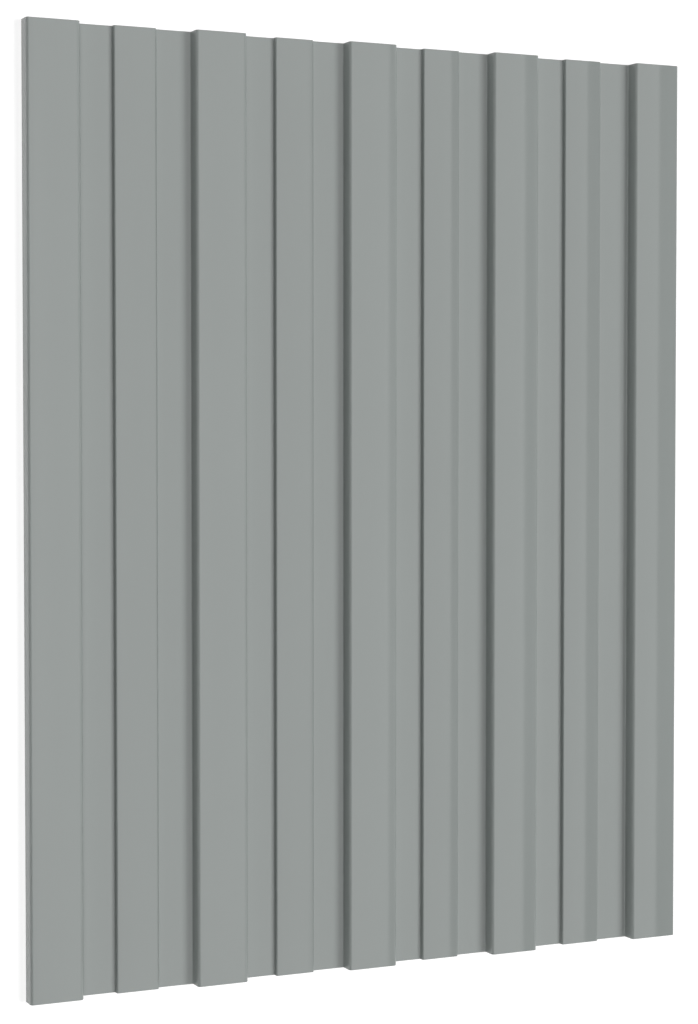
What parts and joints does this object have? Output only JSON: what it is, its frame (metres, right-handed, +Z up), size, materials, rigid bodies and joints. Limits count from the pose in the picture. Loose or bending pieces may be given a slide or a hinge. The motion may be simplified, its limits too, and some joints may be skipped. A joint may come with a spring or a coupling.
{
  "type": "corrugated metal sheet",
  "caption": "Rectangular profiled steel sheet with flat-topped tall ribs, a low rib in each bay between them and flat pans, for roof or wall cladding.",
  "frame": {"origin": "middle of the sheet, on the plane of the pans' undersides", "axes": "+X across the ribs, +Y along the ribs, +Z up out of the ribbed face"},
  "size_m": [0.4502, 0.6, 0.0088],
  "materials": {
    "coated_steel": "satin"
  },
  "bodies": {
    "root": {"profiled_sheet": "coated_steel"}
  },
  "joints": []
}
